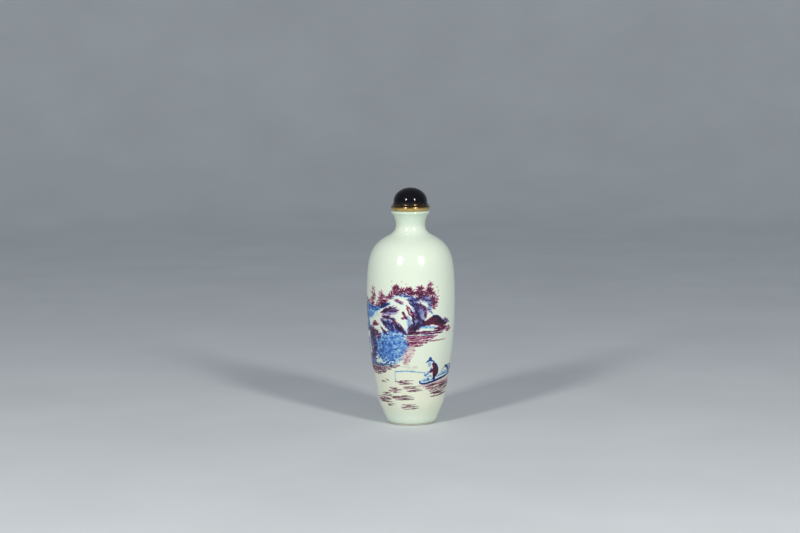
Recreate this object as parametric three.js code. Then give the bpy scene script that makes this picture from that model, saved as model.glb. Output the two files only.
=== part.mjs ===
// A tall porcelain snuff bottle with its stopper, standing on its foot ring.
// Units are millimetres and +Z is up. The origin is the middle of the foot, on
// the surface that the bottle stands on. Every piece is turned about the Z axis.
import * as THREE from 'three';

// Driving dimensions -----------------------------------------------------------

const totalHeight = 85;        // ground to the top of the stopper
const bottleHeight = 76.8;     // ground to the flat top of the lip
const wall = 1.9;              // porcelain thickness
const turnedSegments = 56;     // facets round every turned piece

// Foot
const footRadius = 7.8;        // outer edge of the ring that touches the ground
const footRingWidth = 1.4;     // width of that ring
const footRecess = 0.9;        // depth of the hollow under the base
const footRounding = 0.8;      // reach of the foot's rounded edge
const heelRadius = 9.3;        // where the rounded foot meets the flaring side
const heelHeight = 1.9;
const heelLean = 0.36;         // outward lean there, across per unit of rise

// Side, belly and shoulder
const flareRadius = 12.2;      // end of the flare above the foot
const flareHeight = 9.8;
const flareLean = 0.17;        // outward lean there
const flareReach = 3.4;        // pull of the lean on the curve below it
const sideReach = 12.6;        // and on the curve above it
const bellyRadius = 15.85;     // widest place
const bellyHeight = 46.5;
const bellyReach = 15.6;       // pull of the upright belly on the side below it
const shoulderRise = 13.3;     // and on the shoulder above it
const shoulderFootRadius = 8.5; // where the shoulder turns up into the neck
const shoulderFootHeight = 67.55;
const shoulderFootSlope = THREE.MathUtils.degToRad(27);
const shoulderReach = 7;       // pull of that slope on the shoulder

// Neck and lip
const neckRadius = 5.25;       // narrowest place outside
const neckHeight = 71.5;
const neckReach = 2;           // pull on the curve between shoulder and neck
const neckStraight = 1.1;      // pull of the upright neck on the lip's flare
const lipRadius = 6.95;        // widest place of the flared lip
const lipHeight = 76.05;
const lipFlatRadius = 6.3;     // outer edge of the lip's flat top
const lipSlope = THREE.MathUtils.degToRad(41);
const lipReach = 1.95;         // pull of that slope on the lip's flare
const boreRadius = neckRadius - wall;

// Hollow
const floorHeight = 4.2;       // inside floor above the ground
const floorCorner = 2.4;       // size of the rounded corner round that floor

// Stopper
const collarRadius = 7.0;      // metal collar, at its bead
const collarHeight = 1.9;      // bead alone
const collarWidestHeight = 1.1; // above the lip
const bezelRadius = 6.45;      // thin rim round the stone
const bezelHeight = 0.6;
const bezelChamfer = 0.15;
const seatClearance = 0.08;    // round the stone, inside the bezel
const stoneRadius = 6.06;
const stoneWidestHeight = 1.3; // above the stone's flat underside
const stoneBaseRadius = 5.8;
const corkLength = 6;
const corkClearance = 0.15;    // between the cork's top edge and the bore
const corkTaper = 0.25;        // how much smaller its lower end is in radius
const corkChamfer = 0.5;

// Materials ----------------------------------------------------------------------

const porcelain = new THREE.MeshStandardMaterial({ color: 0xeaf4e8, roughness: 0.12, metalness: 0 });
const giltMetal = new THREE.MeshStandardMaterial({ color: 0xc6a25c, roughness: 0.25, metalness: 1 });
const darkStone = new THREE.MeshStandardMaterial({ color: 0x140c1c, roughness: 0.06, metalness: 0 });
const corkBark = new THREE.MeshStandardMaterial({ color: 0xa87c4c, roughness: 0.9, metalness: 0 });

// Outlines -----------------------------------------------------------------------

// Points are (radius, height). A curve gives its points without the first one,
// so that curves can be joined end to end.
function curvePoints(curve, divisions) {
  return curve.getPoints(divisions).slice(1);
}

function bezier(...ends) {
  const points = ends.map(([radius, height]) => new THREE.Vector2(radius, height));
  return new THREE.CubicBezierCurve(...points);
}

// A quarter of an ellipse from one point to another, leaving the first upright.
function quarterRound(from, to, divisions) {
  const points = [];
  for (let step = 1; step <= divisions; step += 1) {
    const angle = (step / divisions) * Math.PI / 2;
    points.push(new THREE.Vector2(
      to.x + (from.x - to.x) * Math.cos(angle),
      from.y + (to.y - from.y) * Math.sin(angle),
    ));
  }
  return points;
}

// The same, leaving the first point level.
function quarterSweep(from, to, divisions) {
  return quarterRound(to, from, divisions).reverse().slice(1).concat(to);
}

// Rounded foot, from the edge of the ring that touches the ground to the heel.
function footCurves() {
  const foot = bezier(
    [footRadius, 0],
    [footRadius + footRounding, 0],
    [heelRadius - heelLean * footRounding, heelHeight - footRounding],
    [heelRadius, heelHeight],
  );
  return curvePoints(foot, 3);
}

// Flaring side, from the heel to the belly.
function sideCurves() {
  const heel = bezier(
    [heelRadius, heelHeight],
    [heelRadius + heelLean * flareReach, heelHeight + flareReach],
    [flareRadius - flareLean * flareReach, flareHeight - flareReach],
    [flareRadius, flareHeight],
  );
  const side = bezier(
    [flareRadius, flareHeight],
    [flareRadius + flareLean * sideReach, flareHeight + sideReach],
    [bellyRadius, bellyHeight - bellyReach],
    [bellyRadius, bellyHeight],
  );
  return [curvePoints(heel, 4), curvePoints(side, 6)].flat();
}

// Shoulder and the hollow curve under the neck, up to the neck's narrowest place.
function shoulderCurves() {
  const across = Math.cos(shoulderFootSlope);
  const down = Math.sin(shoulderFootSlope);
  const shoulder = bezier(
    [bellyRadius, bellyHeight],
    [bellyRadius, bellyHeight + shoulderRise],
    [shoulderFootRadius + shoulderReach * across, shoulderFootHeight - shoulderReach * down],
    [shoulderFootRadius, shoulderFootHeight],
  );
  const neck = bezier(
    [shoulderFootRadius, shoulderFootHeight],
    [shoulderFootRadius - neckReach * across, shoulderFootHeight + neckReach * down],
    [neckRadius, neckHeight - neckReach],
    [neckRadius, neckHeight],
  );
  return [curvePoints(shoulder, 9), curvePoints(neck, 5)].flat();
}

// Flared lip, from the neck's narrowest place to the edge of its flat top.
function lipCurves() {
  const flare = bezier(
    [neckRadius, neckHeight],
    [neckRadius, neckHeight + neckStraight],
    [lipRadius - lipReach * Math.cos(lipSlope), lipHeight - lipReach * Math.sin(lipSlope)],
    [lipRadius, lipHeight],
  );
  const edge = new THREE.Vector2(lipRadius, lipHeight);
  const flat = new THREE.Vector2(lipFlatRadius, bottleHeight);
  return [curvePoints(flare, 5), quarterRound(edge, flat, 3)].flat();
}

// The inner wall follows the outer one at the wall's thickness, down from the
// bore to the rounded corner round the floor.
function innerWall(outer) {
  const inner = [];
  for (let index = 1; index < outer.length - 1; index += 1) {
    const along = outer[index + 1].clone().sub(outer[index - 1]).normalize();
    const inward = new THREE.Vector2(-along.y, along.x);
    const point = outer[index].clone().addScaledVector(inward, wall);
    if (point.x > boreRadius && point.y > floorHeight + floorCorner) {
      inner.push(point);
    }
  }
  return inner.reverse();
}

// Solids ---------------------------------------------------------------------------

// A solid of revolution about Z from (radius, height) points.
function turned(name, points, material) {
  const geometry = new THREE.LatheGeometry(points, turnedSegments);
  geometry.rotateX(Math.PI / 2);
  const mesh = new THREE.Mesh(geometry, material);
  mesh.name = name;
  return mesh;
}

function bottleBody() {
  const ringInner = footRadius - footRingWidth;
  const base = [
    new THREE.Vector2(0, footRecess),
    new THREE.Vector2(ringInner - footRecess, footRecess),
    new THREE.Vector2(ringInner, 0),
    new THREE.Vector2(footRadius, 0),
  ];
  const outside = [
    ...footCurves(),
    ...sideCurves(),
    ...shoulderCurves(),
  ];
  const hollow = innerWall(outside);
  const lowest = hollow[hollow.length - 1];
  const throat = [
    new THREE.Vector2(boreRadius, bottleHeight),
    new THREE.Vector2(boreRadius, hollow[0].y + wall / 2),
  ];
  const floorEdge = new THREE.Vector2(lowest.x - floorCorner, floorHeight);
  const floor = [
    ...quarterRound(lowest, floorEdge, 3),
    new THREE.Vector2(0, floorHeight),
  ];
  const outline = [
    ...base,
    ...outside,
    ...lipCurves(),
    ...throat,
    ...hollow,
    ...floor,
  ];
  return turned('bottle_body', outline, porcelain);
}

// Metal collar that rests on the lip: a rounded bead, then a thin bezel that
// stands up round the stone, with a flat seat inside it.
function stopperCollar() {
  const bottom = bottleHeight;
  const seat = bottom + collarHeight;
  const bead = new THREE.Vector2(collarRadius, bottom + collarWidestHeight);
  const beadFoot = new THREE.Vector2(lipFlatRadius, bottom);
  const beadTop = new THREE.Vector2(bezelRadius, seat);
  const bezelTop = seat + bezelHeight;
  const seatRadius = stoneRadius + seatClearance;
  const outline = [
    new THREE.Vector2(0, bottom),
    beadFoot,
    ...quarterSweep(beadFoot, bead, 3),
    ...quarterRound(bead, beadTop, 3),
    new THREE.Vector2(bezelRadius, bezelTop - bezelChamfer),
    new THREE.Vector2(bezelRadius - bezelChamfer, bezelTop),
    new THREE.Vector2(seatRadius, bezelTop),
    new THREE.Vector2(seatRadius, seat),
    new THREE.Vector2(0, seat),
  ];
  return turned('stopper_collar', outline, giltMetal);
}

// Domed stone on the collar's seat, a little undercut at its base.
function stopperCabochon() {
  const bottom = bottleHeight + collarHeight;
  const base = new THREE.Vector2(stoneBaseRadius, bottom);
  const widest = new THREE.Vector2(stoneRadius, bottom + stoneWidestHeight);
  const crown = new THREE.Vector2(0, totalHeight);
  const outline = [
    new THREE.Vector2(0, bottom),
    base,
    ...quarterSweep(base, widest, 2),
    ...quarterRound(widest, crown, 7),
  ];
  return turned('stopper_cabochon', outline, darkStone);
}

// Cork plug under the collar, loose in the bore.
function stopperCork() {
  const top = bottleHeight;
  const bottom = top - corkLength;
  const topRadius = boreRadius - corkClearance;
  const lowerRadius = topRadius - corkTaper;
  const outline = [
    new THREE.Vector2(0, bottom),
    new THREE.Vector2(lowerRadius - corkChamfer, bottom),
    new THREE.Vector2(lowerRadius, bottom + corkChamfer),
    new THREE.Vector2(topRadius, top),
    new THREE.Vector2(0, top),
  ];
  return turned('stopper_cork', outline, corkBark);
}

const snuffBottle = new THREE.Group();
snuffBottle.add(bottleBody(), stopperCollar(), stopperCabochon(), stopperCork());

export default snuffBottle;
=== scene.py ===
"""A porcelain snuff bottle, painted in cobalt blue and copper red, with its stopper.

Lengths named here are in design millimetres, which UNIT turns into the frame's metres.
"""

import math

import bpy
import numpy as np
from mathutils import Matrix, Vector


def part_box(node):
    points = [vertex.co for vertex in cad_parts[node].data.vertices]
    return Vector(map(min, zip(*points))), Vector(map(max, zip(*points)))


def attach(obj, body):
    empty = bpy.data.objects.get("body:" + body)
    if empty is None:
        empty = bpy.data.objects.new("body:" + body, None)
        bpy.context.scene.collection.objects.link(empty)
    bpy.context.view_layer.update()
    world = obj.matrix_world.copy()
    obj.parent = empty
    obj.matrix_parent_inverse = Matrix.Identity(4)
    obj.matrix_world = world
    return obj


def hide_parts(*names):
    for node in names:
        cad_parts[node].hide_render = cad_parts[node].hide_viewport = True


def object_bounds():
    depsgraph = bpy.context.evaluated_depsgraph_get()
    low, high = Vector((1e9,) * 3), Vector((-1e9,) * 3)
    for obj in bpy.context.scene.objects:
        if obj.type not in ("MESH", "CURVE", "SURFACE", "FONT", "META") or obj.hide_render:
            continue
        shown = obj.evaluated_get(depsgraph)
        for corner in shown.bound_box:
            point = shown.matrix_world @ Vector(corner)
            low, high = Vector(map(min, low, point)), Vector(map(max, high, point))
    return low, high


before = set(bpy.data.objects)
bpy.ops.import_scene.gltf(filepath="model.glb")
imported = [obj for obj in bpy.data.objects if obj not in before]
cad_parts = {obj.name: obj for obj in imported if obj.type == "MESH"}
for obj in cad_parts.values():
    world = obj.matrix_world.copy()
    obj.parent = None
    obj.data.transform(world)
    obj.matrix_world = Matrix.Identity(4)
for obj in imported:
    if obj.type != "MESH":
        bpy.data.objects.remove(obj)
cad_low, cad_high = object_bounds()

body_low, body_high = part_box("bottle_body")
collar_low, collar_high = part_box("stopper_collar")
stone_low, stone_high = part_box("stopper_cabochon")
cork_low, cork_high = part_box("stopper_cork")

BOTTLE_HEIGHT = 76.8
UNIT = (body_high.z - body_low.z) / BOTTLE_HEIGHT


def design(length):
    """A length of the frame, in design millimetres."""
    return length / UNIT


# The painting -----------------------------------------------------------------------
# Three sheets of pigment density, laid on the band round the bottle with a brush.
# Places on them are (u, v) in design millimetres: u runs to the right from the middle
# of the scene along a circle of radius PAINT_RADIUS, and v is the height.

PAINT_RADIUS = 15.0
PAINT_LOW, PAINT_HIGH = 4.0, 56.0
BAND = 2 * math.pi * PAINT_RADIUS
BASE_COLUMNS, BASE_ROWS = 104, 58   # coarse cells of the painted band, round and up
LEVELS = 3                      # times that a coarse cell may be halved
SAMPLES = 2                     # sheet cells for each finest mesh cell
COLUMNS = BASE_COLUMNS * 2 ** LEVELS * SAMPLES
ROWS = BASE_ROWS * 2 ** LEVELS * SAMPLES
OVERLAP = 280                   # extra columns at each end, folded in at the back seam
PER_U = COLUMNS / BAND
PER_V = ROWS / (PAINT_HIGH - PAINT_LOW)
CURVE_STEPS = 5                 # pieces of a smooth curve between two of its points
SEED = 1736

# Blue, red, and copper burnt away to a greyish brown.
COBALT, COPPER, UMBER = np.zeros((3, ROWS, COLUMNS + 2 * OVERLAP), np.float32)
hand = np.random.default_rng(SEED)


def between(low, high):
    return hand.uniform(low, high)


def about(value, spread):
    return value * (1 + spread * between(-1, 1))


def travelled(path):
    """The distance of each point of a path from its start."""
    return np.concatenate([[0], np.cumsum(np.hypot(*np.diff(path[:, :2], axis=0).T))])


def toward(degrees, length=1.0):
    """An offset of that length at an angle from level."""
    return length * math.cos(math.radians(degrees)), length * math.sin(math.radians(degrees))


def value_noise(cell):
    """Smooth noise from -1 to 1 over the sheet, with lumps about cell millimetres wide."""
    around = round(BAND / cell)
    up = math.ceil((PAINT_HIGH - PAINT_LOW) / cell) + 1
    lattice = hand.uniform(-1, 1, (up + 1, around)).astype(np.float32)
    x = (np.arange(COLUMNS + 2 * OVERLAP) - OVERLAP) * (around / COLUMNS)
    y = np.arange(ROWS) * (up / ROWS)
    left, low = np.floor(x).astype(int), np.floor(y).astype(int)
    fx, fy = x - left, y - low
    fx, fy = fx * fx * (3 - 2 * fx), (fy * fy * (3 - 2 * fy))[:, None]
    rows = lattice[low] * (1 - fy) + lattice[low + 1] * fy
    mixed = rows[:, left % around] * (1 - fx) + rows[:, (left + 1) % around] * fx
    return mixed.astype(np.float32)


GRAIN = 0.55 * value_noise(0.55) + 0.45 * value_noise(0.2)
CLOUD = 0.6 * value_noise(3.0) + 0.4 * value_noise(1.2)


def smooth(points):
    """A smooth curve through a few points, with whatever else they carry."""
    p = np.array(points, float)
    if len(p) < 3:
        return p
    ends = np.vstack([2 * p[0] - p[1], p, 2 * p[-1] - p[-2]])
    t = np.linspace(0, 1, CURVE_STEPS, endpoint=False)[:, None]
    spans = [
        0.5 * (2 * b + (c - a) * t + (2 * a - 5 * b + 4 * c - d) * t ** 2
               + (3 * b - a - 3 * c + d) * t ** 3)
        for a, b, c, d in zip(ends, ends[1:], ends[2:], ends[3:])
    ]
    return np.vstack(spans + [p[-1:]])


def window(path, reach):
    """The rows and columns of a sheet that a path can touch, and their u and v."""
    low = path.min(0)[:2] - reach
    high = path.max(0)[:2] + reach
    left = int((low[0] + BAND / 2) * PER_U) + OVERLAP
    right = int((high[0] + BAND / 2) * PER_U) + OVERLAP + 2
    bottom = int((low[1] - PAINT_LOW) * PER_V)
    top = int((high[1] - PAINT_LOW) * PER_V) + 2
    left, right = max(left, 0), min(right, COBALT.shape[1])
    bottom, top = max(bottom, 0), min(top, ROWS)
    u = (np.arange(left, right) - OVERLAP + 0.5) / PER_U - BAND / 2
    v = (np.arange(bottom, top) + 0.5) / PER_V + PAINT_LOW
    return slice(bottom, top), slice(left, right), u[None, :], v[:, None]


def cover(path, soft, rough):
    """How much each place near a path is covered. Path points are (u, v, half-width)."""
    reach = path[:, 2].max() + soft + rough
    rows, columns, u, v = window(path, reach)
    gap = np.full((v.shape[0], u.shape[1]), BAND)
    for a, b in zip(path, path[1:]):
        du, dv = b[0] - a[0], b[1] - a[1]
        t = ((u - a[0]) * du + (v - a[1]) * dv) / (du * du + dv * dv + 1e-9)
        t = np.clip(t, 0, 1)
        away = np.hypot(u - a[0] - t * du, v - a[1] - t * dv)
        gap = np.minimum(gap, away - a[2] - t * (b[2] - a[2]))
    gap += rough * GRAIN[rows, columns]
    inside = np.clip(0.5 - gap / soft, 0, 1)
    return rows, columns, inside * inside * (3 - 2 * inside)


def lay(sheet, path, strength, soft, rough, noise, depth):
    """Adds pigment along a path, thicker and thinner by that depth of a noise."""
    rows, columns, inside = cover(path, soft, rough)
    sheet[rows, columns] += strength * inside * (1 + depth * noise[rows, columns])


def mark(sheet, path, strength, soft=0.1, rough=0.05):
    """A crisp mark that breaks up a little with the grain of the glaze."""
    lay(sheet, path, strength, soft, rough, GRAIN, 0.35)


def wash(sheet, spine, strength, soft=0.7, rough=0.5):
    """A wet, uneven patch. The spine's points are (u, v, half-width)."""
    path = smooth(spine)
    path[:, 2] = np.maximum(path[:, 2] - soft * 0.35, 0.02)
    lay(sheet, path, strength, soft, rough, CLOUD, 0.45)


def stroke(sheet, points, width, strength=1.2, heavy=0.4, tip=0.15, rough=0.05):
    """One brush stroke: thin at its ends and fullest at the heavy share of its length."""
    path = smooth(points)
    share = travelled(path) / travelled(path)[-1]
    rise = np.where(share < heavy, share / heavy, (1 - share) / (1 - heavy))
    half = 0.5 * width * (tip + (1 - tip) * np.sqrt(np.clip(rise, 0, 1)))
    mark(sheet, np.column_stack([path[:, :2], half]), strength, rough=rough)


def line(sheet, points, width, strength=1.0):
    """A drawn line of nearly even width."""
    path = smooth(points)
    half = 0.5 * width * (1 + 0.25 * hand.uniform(-1, 1, len(path)))
    mark(sheet, np.column_stack([path[:, :2], half]), strength, 0.12, 0.06)


def dab(sheet, u, v, length, width, degrees, strength=1.0):
    """A short touch of the brush tip."""
    du, dv = toward(degrees, 0.5 * length)
    path = np.array([
        (u - du, v - dv, 0.3 * width), (u, v, 0.5 * width), (u + du, v + dv, 0.2 * width),
    ])
    mark(sheet, path, strength, 0.12, 0.06)


def needle(sheet, u, v, degrees, length, width, strength):
    """A curved needle that starts at (u, v)."""
    du, dv = toward(degrees, 0.55 * length)
    end_du, end_dv = toward(degrees + between(-25, 25), 0.45 * length)
    points = [(u, v), (u + du, v + dv), (u + du + end_du, v + dv + end_dv)]
    stroke(sheet, points, width, strength, heavy=0.5, tip=0.3, rough=0.04)


def tuft(sheet, u, v, size, count=7, strength=1.3):
    """A loose fan of pine needles round (u, v), with a heavier heart."""
    low, high = -15, 195
    for step in range(count):
        degrees = low + (high - low) * (step + between(0.1, 0.9)) / count
        du, dv = toward(degrees, 0.22 * size)
        needle(sheet, u + du, v + dv, degrees, about(size, 0.35), about(0.21, 0.25), about(strength, 0.35))
    dab(sheet, u, v, 0.3 * size, 0.2 * size, between(0, 180), 0.7 * strength)


def places(spine, count, even=False):
    """Random places in the swath round a spine of (u, v, half-width), fuller where it is wide."""
    path = smooth(spine)
    area = np.diff(travelled(path)) * (path[1:, 2] + path[:-1, 2])
    reached = np.concatenate([[0], np.cumsum(area)])
    for turn in range(count):
        share = (turn + between(0, 1)) / count if even else between(0, 1)
        u, v, half = (np.interp(share * reached[-1], reached, path[:, i]) for i in range(3))
        reach = half * math.sqrt(between(0, 1))
        du, dv = toward(between(0, 360), reach)
        yield u + du, v + dv


def brushwork(sheet, spine, count, length, degrees, width=0.26, strength=0.8, spread=12):
    """Short strokes that lean one way, scattered in the swath round a spine."""
    for u, v in places(spine, count, even=True):
        lean = degrees + between(-spread, spread)
        du, dv = toward(lean, 0.5 * about(length, 0.35))
        sag = between(-0.15, 0.15)
        points = [(u - du, v - dv), (u - sag * dv, v + sag * du), (u + du, v + dv)]
        stroke(sheet, points, about(width, 0.3), about(strength, 0.4), heavy=between(0.25, 0.6),
               tip=0.3, rough=0.04)


def spots(sheet, low, high, count, size, strength):
    """Scattered flat dots in a rectangle."""
    for _ in range(count):
        dab(sheet, between(low[0], high[0]), between(low[1], high[1]), about(1.6 * size, 0.3),
            about(size, 0.3), between(-25, 25), about(strength, 0.4))


# The picture ------------------------------------------------------------------------
# What each pigment does to the glaze over its cover: (cover, sRGB colour).

BLUE = [(0.0, (255, 255, 255)), (0.2, (188, 218, 255)), (0.45, (108, 160, 242)),
        (0.7, (58, 100, 204)), (0.88, (32, 48, 130)), (1.0, (14, 22, 66))]
RED = [(0.0, (255, 255, 255)), (0.2, (240, 200, 220)), (0.42, (198, 118, 166)), (0.65, (144, 50, 106)),
       (0.85, (98, 18, 64)), (1.0, (50, 8, 36))]
BROWN = [(0.0, (255, 255, 255)), (0.25, (212, 204, 212)), (0.6, (138, 122, 142)), (1.0, (70, 56, 80))]


def fold(spine, lean, red=0.5, blue=0.5, count=30, length=1.3, spread=14):
    """A fold of rock: thin washes of both pigments under fine strokes that lean one way."""
    wash(COPPER, spine, 0.40 * red, soft=1.0)
    wash(COBALT, spine, 0.36 * blue, soft=1.0)
    swath = [(u, v, 1.3 * reach) for u, v, reach in spine]
    brushwork(COPPER, swath, round(0.8 * count * red), length, lean, 0.24, 1.2, spread)
    brushwork(COBALT, swath, round(0.7 * count * blue), length, lean, 0.24, 0.9, spread)


# Pale underpainting of the shaded sides: how much blue and red, and the spine.
SHADED_SIDES = (
    (0.36, 0.30, [(0.4, 46.8, 0.7), (1.6, 44.4, 1.5), (3.0, 42.2, 2.4), (3.0, 39.6, 2.2),
                  (2.0, 36.8, 1.7)]),
    (0.36, 0.20, [(3.0, 47.6, 0.9), (5.2, 46.8, 1.3), (6.6, 45.0, 1.2), (6.4, 42.8, 0.9)]),
    (0.36, 0.28, [(-10.4, 38.8, 0.8), (-7.8, 37.0, 1.8), (-5.2, 36.2, 1.8), (-2.4, 35.0, 1.0)]),
    (0.16, 0.24, [(-10.6, 41.2, 0.6), (-8.4, 42.0, 1.4), (-6.4, 42.2, 1.6), (-5.2, 42.6, 1.0)]),
    (0.20, 0.26, [(-10.4, 40.0, 0.6), (-8.0, 39.6, 1.0), (-5.8, 38.8, 0.8)]),
    (0.26, 0.16, [(-1.2, 40.6, 0.5), (-0.4, 38.6, 1.0), (-0.6, 36.4, 0.9)]),
)


def underpainting():
    for blue, red, spine in SHADED_SIDES:
        wash(COBALT, spine, blue, soft=0.9)
        wash(COPPER, spine, red, soft=0.9)


# Pines on the crest: how many tufts, and a spine from the foot of each to its top.
PINES = (
    (10, [(-15.6, 44.4, 1.4), (-15.5, 46.6, 1.2), (-15.4, 48.8, 0.6)]),
    (9, [(-10.8, 44.8, 1.3), (-10.6, 46.4, 1.2), (-10.9, 48.0, 0.6)]),
    (6, [(-9.2, 45.8, 0.8), (-7.4, 46.8, 0.9), (-6.6, 47.6, 0.6)]),
    (10, [(-5.6, 48.6, 1.0), (-4.8, 49.4, 1.3), (-5.0, 50.6, 0.7)]),
    (4, [(-3.4, 49.0, 0.7), (-2.4, 49.1, 0.7), (-1.6, 48.9, 0.5)]),
    (7, [(0.4, 48.6, 0.7), (-0.4, 49.6, 0.9), (-0.9, 50.6, 0.5)]),
    (7, [(2.4, 48.4, 0.6), (3.2, 49.4, 1.0), (2.8, 50.6, 0.5)]),
    (7, [(2.4, 47.2, 0.7), (4.0, 47.6, 1.1), (5.2, 48.4, 0.7)]),
    (14, [(7.6, 46.8, 0.9), (6.6, 48.6, 1.3), (6.2, 50.2, 1.0), (6.2, 51.8, 0.5)]),
    (7, [(8.1, 43.2, 0.5), (8.0, 44.8, 0.8), (7.9, 46.4, 0.8)]),
)


def pines():
    """Starry tufts of needles over a faint blush, with a heavier foot to each tree."""
    for count, spine in PINES:
        wash(COPPER, spine, 0.13, soft=1.2)
        for u, v in places(spine, count, even=True):
            tuft(COPPER, u, v, about(1.15, 0.2), count=6)
        foot_u, foot_v, _ = spine[0]
        foot = [(foot_u - 0.5, foot_v, 0.5), (foot_u + 0.5, foot_v, 0.5)]
        brushwork(COPPER, foot, 6, 1.2, 20, 0.26, 1.0, 40)
    stroke(COPPER, [(-1.4, 50.4), (-0.5, 49.7), (0.5, 48.8)], 0.4, 1.2)
    brushwork(COPPER, [(-0.4, 48.7, 0.3), (1.2, 48.8, 0.3), (2.8, 48.7, 0.3)], 8, 1.5, 0, 0.28, 1.1, 6)
    saddle = [(-13.8, 43.7, 0.5), (-12.2, 44.3, 0.7), (-9.6, 45.4, 0.7)]
    brushwork(COPPER, saddle, 26, 1.0, 20, 0.27, 1.0, 30)
    for u, v in places([(9.2, 51.0, 0.5), (9.4, 47.6, 0.6), (9.0, 43.4, 0.4)], 12):
        dab(COPPER, u, v, 0.7, 0.24, between(-40, 50), 0.6)
    spots(COPPER, (-7.0, 51.8), (8.6, 53.2), 9, 0.2, 0.4)


def crest():
    """The dark mass under the pines, which bounds a white dome of rock."""
    fold([(-4.8, 48.4, 0.4), (-2.8, 48.2, 0.6), (-0.8, 47.7, 0.7), (1.0, 46.8, 0.7), (2.6, 46.4, 0.5)],
         -20, 0.6, 1.1, 34, 1.0)
    wash(COBALT, [(-7.6, 46.7, 0.3), (-5.4, 47.7, 0.35), (-3.2, 47.6, 0.3)], 0.5)
    wash(COBALT, [(-6.6, 46.6, 0.3), (-4.2, 47.0, 0.3), (-1.4, 46.6, 0.3)], 0.12)
    fold([(-5.8, 46.2, 0.3), (-4.4, 45.8, 0.6), (-2.8, 45.2, 0.4)], -8, 0.75, 0.15, 26, 1.0)
    fold([(-0.9, 46.6, 0.4), (0.2, 45.4, 0.6), (1.4, 44.0, 0.7), (2.2, 42.6, 0.5)], -58, 0.5, 1.0, 44)
    fold([(2.2, 44.9, 0.5), (3.4, 44.0, 0.8), (4.8, 43.0, 0.7), (5.2, 41.4, 0.6), (4.9, 39.8, 0.5)],
         -48, 1.1, 0.2, 50, 0.9)
    fold([(1.9, 42.2, 0.6), (2.2, 40.8, 0.8), (2.5, 39.4, 0.6)], -70, 0.9, 0.5, 34)
    fold([(2.6, 46.6, 0.6), (4.4, 46.4, 0.7), (6.2, 45.6, 0.6)], 20, 0.5, 0.5, 30, 0.9, 60)
    fold([(6.6, 47.8, 0.5), (6.8, 46.2, 0.7), (6.5, 44.4, 0.7)], 80, 0.25, 0.55, 24, 0.9, 30)
    fold([(5.9, 43.4, 0.5), (6.8, 42.0, 0.6), (7.6, 41.2, 0.4)], -30, 0.25, 0.4, 14, 0.9)
    wash(COBALT, [(3.2, 42.2, 0.4), (3.5, 40.8, 0.5), (3.4, 39.6, 0.3)], 0.22)


def left_hillside():
    """Blue slopes, and folds of rock hatched in red, at the left of the dome."""
    for spine in ([(-22.5, 43.0, 1.6), (-17.5, 43.0, 1.2), (-14.0, 42.6, 1.1), (-12.0, 43.0, 0.8)],
                  [(-11.2, 43.6, 0.6), (-9.6, 44.2, 0.7), (-8.0, 44.8, 0.5)]):
        wash(COBALT, spine, 0.7)
        for u, v in places(spine, 60, even=True):
            dab(COBALT, u, v, about(0.9, 0.3), 0.34, between(-30, 30), between(0.5, 1.5))
    wash(COBALT, [(-22.0, 40.6, 1.8), (-18.0, 40.4, 1.5), (-15.4, 40.6, 1.0)], 0.85)
    wash(COBALT, [(-13.4, 41.0, 0.5), (-12.2, 40.0, 0.4)], 0.25)
    fold([(-10.6, 41.4, 0.4), (-8.8, 42.2, 0.9), (-6.8, 42.6, 1.2), (-5.2, 42.9, 0.7)], 26, 0.75, 0.35, 56)
    brushwork(COPPER, [(-10.8, 41.6, 0.3), (-9.2, 42.6, 0.3), (-6.6, 43.7, 0.3)], 12, 1.6, 28, 0.34, 1.2)
    fold([(-10.4, 40.3, 0.4), (-8.8, 40.2, 0.6), (-7.0, 39.6, 0.6), (-5.6, 38.9, 0.4)], -12, 1.0, 0.25, 34)
    wash(COBALT, [(-9.6, 41.0, 0.2), (-7.6, 40.7, 0.3), (-6.2, 40.3, 0.2)], 0.3)
    fold([(-10.9, 39.0, 0.4), (-10.0, 37.8, 0.8), (-9.2, 36.8, 0.5)], -54, 0.9, 0.4, 26)
    fold([(-8.8, 38.6, 0.7), (-7.8, 37.0, 1.1), (-6.6, 35.6, 0.9)], -56, 0.45, 0.85, 50)
    fold([(-6.4, 38.4, 0.4), (-5.0, 37.2, 0.9), (-3.6, 35.8, 0.9), (-2.0, 34.9, 0.4)], -48, 1.1, 0.35, 58)
    fold([(-11.6, 36.2, 0.3), (-10.4, 35.0, 0.5), (-9.0, 34.0, 0.4)], -50, 1.0, 0.1, 22, 1.2)


def cleft():
    """Dark strokes that run down the white valley and fan out at its foot."""
    gully = [(-1.5, 44.4, 0.2), (-0.8, 43.0, 0.5), (0.1, 41.2, 0.6), (0.9, 39.2, 0.4)]
    fold(gully, -64, 1.25, 0.1, 34, 1.4)
    fold([(-2.8, 42.0, 0.3), (-2.2, 41.0, 0.4), (-1.6, 39.8, 0.3)], -60, 1.1, 0.1, 18, 1.1)
    fold([(-3.0, 39.7, 0.3), (-2.2, 39.9, 0.3)], 20, 0.9, 0.0, 8, 0.8)
    wash(COBALT, [(-1.6, 40.6, 0.3), (-1.2, 39.2, 0.6), (-0.7, 37.8, 0.5), (-1.2, 36.4, 0.4)], 0.34)
    fold([(0.6, 40.0, 0.4), (1.0, 38.6, 0.5), (0.6, 37.4, 0.4)], -84, 0.5, 0.7, 22)
    fold([(0.4, 37.4, 0.4), (-0.2, 36.0, 0.7), (-0.7, 34.7, 0.5)], 66, 1.1, 0.4, 34)
    fold([(2.8, 38.3, 0.4), (2.0, 37.0, 0.8), (1.0, 35.6, 0.7)], 58, 1.1, 0.4, 42)
    fold([(3.6, 39.0, 0.4), (4.2, 38.2, 0.4)], -40, 0.5, 0.9, 14)


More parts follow.
